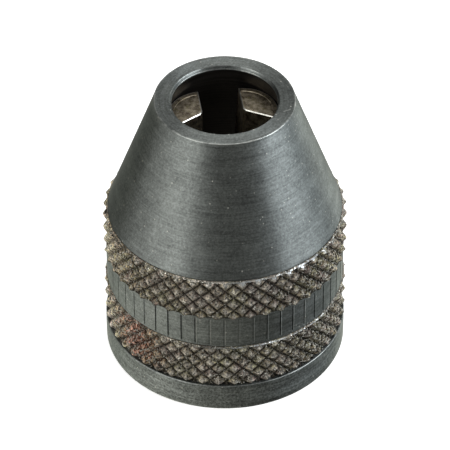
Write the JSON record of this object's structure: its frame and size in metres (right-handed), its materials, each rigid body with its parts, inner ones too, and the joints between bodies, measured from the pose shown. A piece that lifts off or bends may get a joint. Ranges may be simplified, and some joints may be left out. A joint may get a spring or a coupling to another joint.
{
  "type": "drill chuck",
  "caption": "Mini keyless drill chuck: knurled nose sleeve over wedge jaws that springs push apart, closed behind by a threaded bush.",
  "frame": {"origin": "centre of the rear face, where the chuck's axis meets the plane of the bush's flange", "axes": "+Z along the chuck's axis, from the threaded rear to the nose; the first jaw's middle lies 30 degrees round from +X towards +Y"},
  "size_m": [0.017, 0.017, 0.0208],
  "materials": {
    "sleeve_steel": "satin blued steel with fine turning lines, worn bare on the edges, with oily dust in the knurl",
    "bush_steel": "satin blued steel with fine turning lines",
    "jaw_steel": "ground hardened steel, straw-coloured, bright on its edges",
    "spring_steel": "bright drawn wire"
  },
  "bodies": {
    "chuck_body": {"nose_sleeve": "sleeve_steel", "rear_bush": "bush_steel"},
    "jaw_1": {"jaw_1": "jaw_steel"},
    "jaw_2": {"jaw_2": "jaw_steel"},
    "jaw_3": {"jaw_3": "jaw_steel"},
    "jaw_springs_1": {"jaw_spring_front_1": "spring_steel", "jaw_spring_rear_1": "spring_steel"},
    "jaw_springs_2": {"jaw_spring_front_2": "spring_steel", "jaw_spring_rear_2": "spring_steel"},
    "jaw_springs_3": {"jaw_spring_front_3": "spring_steel", "jaw_spring_rear_3": "spring_steel"}
  },
  "joints": [
    {"name": "jaw_1_slide", "type": "slide", "parent": "chuck_body", "child": "jaw_1", "axis": [-0.2676, -0.1545, 0.9511], "range_m": [0, 0.00502], "stiffness_N_per_m": 100, "springref_m": -0.004},
    {"name": "jaw_2_slide", "type": "slide", "parent": "chuck_body", "child": "jaw_2", "axis": [0.2676, -0.1545, 0.9511], "range_m": [0, 0.00502], "stiffness_N_per_m": 100, "springref_m": -0.004},
    {"name": "jaw_3_slide", "type": "slide", "parent": "chuck_body", "child": "jaw_3", "axis": [0, 0.309, 0.9511], "range_m": [0, 0.00502], "stiffness_N_per_m": 100, "springref_m": -0.004},
    {"name": "jaw_springs_1_slide", "type": "slide", "parent": "chuck_body", "child": "jaw_springs_1", "axis": [0, -0.1604, 0.9871], "range_m": [0, 0.00483], "deforming": ["jaw_spring_front_1", "jaw_spring_rear_1"]},
    {"name": "jaw_springs_2_slide", "type": "slide", "parent": "chuck_body", "child": "jaw_springs_2", "axis": [0.1389, 0.0802, 0.9871], "range_m": [0, 0.00483], "deforming": ["jaw_spring_front_2", "jaw_spring_rear_2"]},
    {"name": "jaw_springs_3_slide", "type": "slide", "parent": "chuck_body", "child": "jaw_springs_3", "axis": [-0.1389, 0.0802, 0.9871], "range_m": [0, 0.00483], "deforming": ["jaw_spring_front_3", "jaw_spring_rear_3"]}
  ],
  "couplings": [
    {"joint": "jaw_2_slide", "follows": "jaw_1_slide", "ratio": 1},
    {"joint": "jaw_3_slide", "follows": "jaw_1_slide", "ratio": 1},
    {"joint": "jaw_springs_1_slide", "follows": "jaw_1_slide", "ratio": 0.96352},
    {"joint": "jaw_springs_2_slide", "follows": "jaw_1_slide", "ratio": 0.96352},
    {"joint": "jaw_springs_3_slide", "follows": "jaw_1_slide", "ratio": 0.96352}
  ]
}
